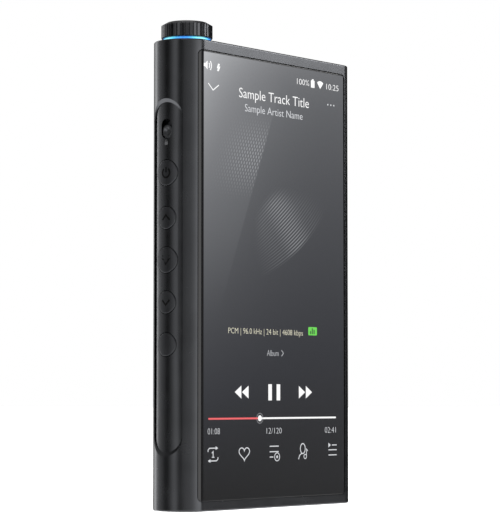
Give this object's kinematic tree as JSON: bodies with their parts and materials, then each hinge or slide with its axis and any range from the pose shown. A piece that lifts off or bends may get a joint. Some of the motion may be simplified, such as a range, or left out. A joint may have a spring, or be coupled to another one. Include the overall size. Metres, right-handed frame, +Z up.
{
  "type": "digital audio player",
  "caption": "Slab-shaped pocket music player with a glass touch screen, a round spine holding recessed buttons and a hold slider, and a fluted volume knob on a lit ring.",
  "frame": {"origin": "middle of the bottom face, halfway through the thickness", "axes": "+Z up to the volume knob, +X to the right as the screen is read, and the screen faces -Y"},
  "size_m": [0.076, 0.0174, 0.1363],
  "materials": {
    "anodised_frame": "fine bead-blasted, dark anodised, satin",
    "front_glass": "polished, dark, with the lit picture behind it",
    "back_glass": "polished, dark, over a fine woven pattern",
    "black_foam": "matt adhesive foam",
    "display": "polished",
    "steel_plate": "plain rolled",
    "ribbon": "smooth film",
    "connector_plastic": "moulded",
    "plain_aluminium": "milled",
    "battery_wrap": "shrink film",
    "lead_insulation": "smooth",
    "circuit_board": "solder mask",
    "chip_plastic": "moulded",
    "thermal_pad": "soft pad",
    "shield_can": "tinned sheet",
    "capacitor_can": "drawn can",
    "gold_collar": "turned and plated",
    "led_lens": "clear lens",
    "light_guide": "translucent light guide, lit blue",
    "anodised_knob": "turned and fluted, dark anodised",
    "button_metal": "fine bead-blasted, dark anodised",
    "slider_metal": "turned, dark anodised",
    "anodised_tray": "fine bead-blasted, dark anodised",
    "card_plastic": "moulded"
  },
  "bodies": {
    "case": {"frame": "anodised_frame", "front_glass": "front_glass", "back_glass": "back_glass", "front_seal": "black_foam", "back_seal": "black_foam", "lcd_panel": "display", "lcd_backplate": "steel_plate", "display_flex": "ribbon", "display_connector": "connector_plastic", "midplate": "plain_aluminium", "battery_pack": "battery_wrap", "battery_tape": "black_foam", "battery_lead": "lead_insulation", "battery_connector": "connector_plastic", "main_board": "circuit_board", "processor": "chip_plastic", "thermal_pad": "thermal_pad", "processor_shield": "shield_can", "radio_shield": "shield_can", "antenna": "ribbon", "audio_board": "circuit_board", "dac_shield": "shield_can", "amplifier_shield": "shield_can", "board_connector": "connector_plastic", "filter_capacitors": "capacitor_can", "clock_oscillators": "capacitor_can", "jack_3_5mm": "connector_plastic", "jack_2_5mm": "connector_plastic", "jack_4_4mm": "connector_plastic", "jack_3_5mm_collar": "gold_collar", "jack_2_5mm_collar": "gold_collar", "jack_4_4mm_collar": "gold_collar", "usb_shell": "steel_plate", "usb_tongue": "connector_plastic", "encoder_body": "shield_can", "encoder_washer": "steel_plate", "encoder_nut": "steel_plate", "ring_board": "circuit_board", "ring_leds": "led_lens", "light_ring": "light_guide", "key_board": "circuit_board", "key_switches": "connector_plastic", "key_bracket": "steel_plate", "hold_switch": "connector_plastic", "card_reader": "shield_can", "plate_screws": "steel_plate", "board_screws": "steel_plate"},
    "knob": {"volume_knob": "anodised_knob", "encoder_shaft": "steel_plate"},
    "power": {"power_button": "button_metal"},
    "previous": {"previous_button": "button_metal"},
    "play": {"play_button": "button_metal"},
    "next": {"next_button": "button_metal"},
    "function": {"function_button": "button_metal"},
    "hold": {"hold_slider": "slider_metal"},
    "tray": {"card_tray": "anodised_tray", "memory_card": "card_plastic"}
  },
  "joints": [
    {"name": "knob_turn", "type": "hinge", "parent": "case", "child": "knob", "pos_m": [-0.0287, 0, 0.1337], "axis": [0, 0, 1], "continuous": true},
    {"name": "power_press", "type": "slide", "parent": "case", "child": "power", "axis": [1, 0, 0], "range_m": [0, 0.00035], "stiffness_N_per_m": 1200},
    {"name": "previous_press", "type": "slide", "parent": "case", "child": "previous", "axis": [1, 0, 0], "range_m": [0, 0.00035], "stiffness_N_per_m": 1200},
    {"name": "play_press", "type": "slide", "parent": "case", "child": "play", "axis": [1, 0, 0], "range_m": [0, 0.00035], "stiffness_N_per_m": 1200},
    {"name": "next_press", "type": "slide", "parent": "case", "child": "next", "axis": [1, 0, 0], "range_m": [0, 0.00035], "stiffness_N_per_m": 1200},
    {"name": "function_press", "type": "slide", "parent": "case", "child": "function", "axis": [1, 0, 0], "range_m": [0, 0.00035], "stiffness_N_per_m": 1200},
    {"name": "hold_slide", "type": "slide", "parent": "case", "child": "hold", "axis": [0, 0, 1], "range_m": [0, 0.00146]},
    {"name": "tray_slide", "type": "slide", "parent": "case", "child": "tray", "axis": [1, 0, 0], "range_m": [0, 0.02]}
  ]
}
